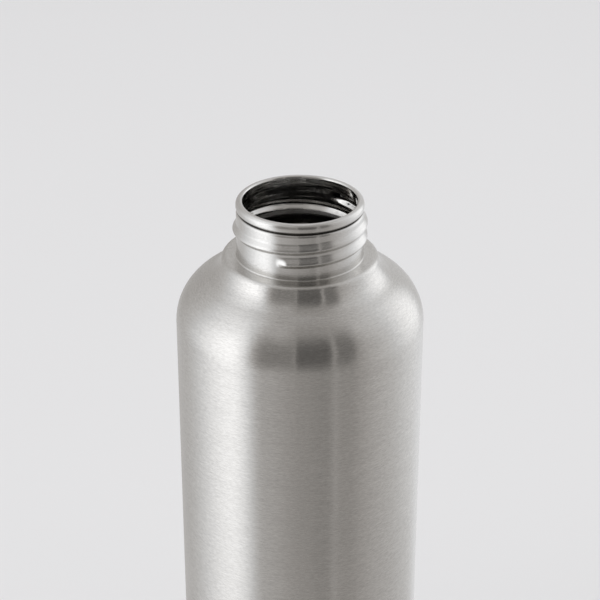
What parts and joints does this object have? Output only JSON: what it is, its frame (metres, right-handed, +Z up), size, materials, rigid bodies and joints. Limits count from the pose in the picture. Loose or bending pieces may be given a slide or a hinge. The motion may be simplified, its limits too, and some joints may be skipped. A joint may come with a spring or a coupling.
{
  "type": "insulated water bottle",
  "caption": "Slim double-wall bottle of brushed steel with a round shoulder, a stepped collar and an open neck with a rolled thread and a curled lip.",
  "frame": {"origin": "middle of the foot, on the surface that the bottle stands on", "axes": "+Z up along the bottle's axis, -Y towards the picture's camera, +X to the right in the picture"},
  "size_m": [0.085, 0.085, 0.265],
  "materials": {
    "brushed_steel": "fine brushing round the axis",
    "neck_steel": "turned and polished",
    "liner_steel": "electropolished",
    "clip_steel": "as drawn",
    "copper": "bright copper foil",
    "sealing_glass": "fused solder glass",
    "getter": "pressed metal powder"
  },
  "bodies": {
    "root": {"outer_shell": "brushed_steel", "neck_ring": "neck_steel", "inner_liner": "liner_steel", "liner_base": "liner_steel", "outer_base": "brushed_steel", "base_cover": "brushed_steel", "vacuum_seal": "sealing_glass", "copper_foil": "copper", "getter_pill": "getter", "getter_clip": "clip_steel"}
  },
  "joints": []
}
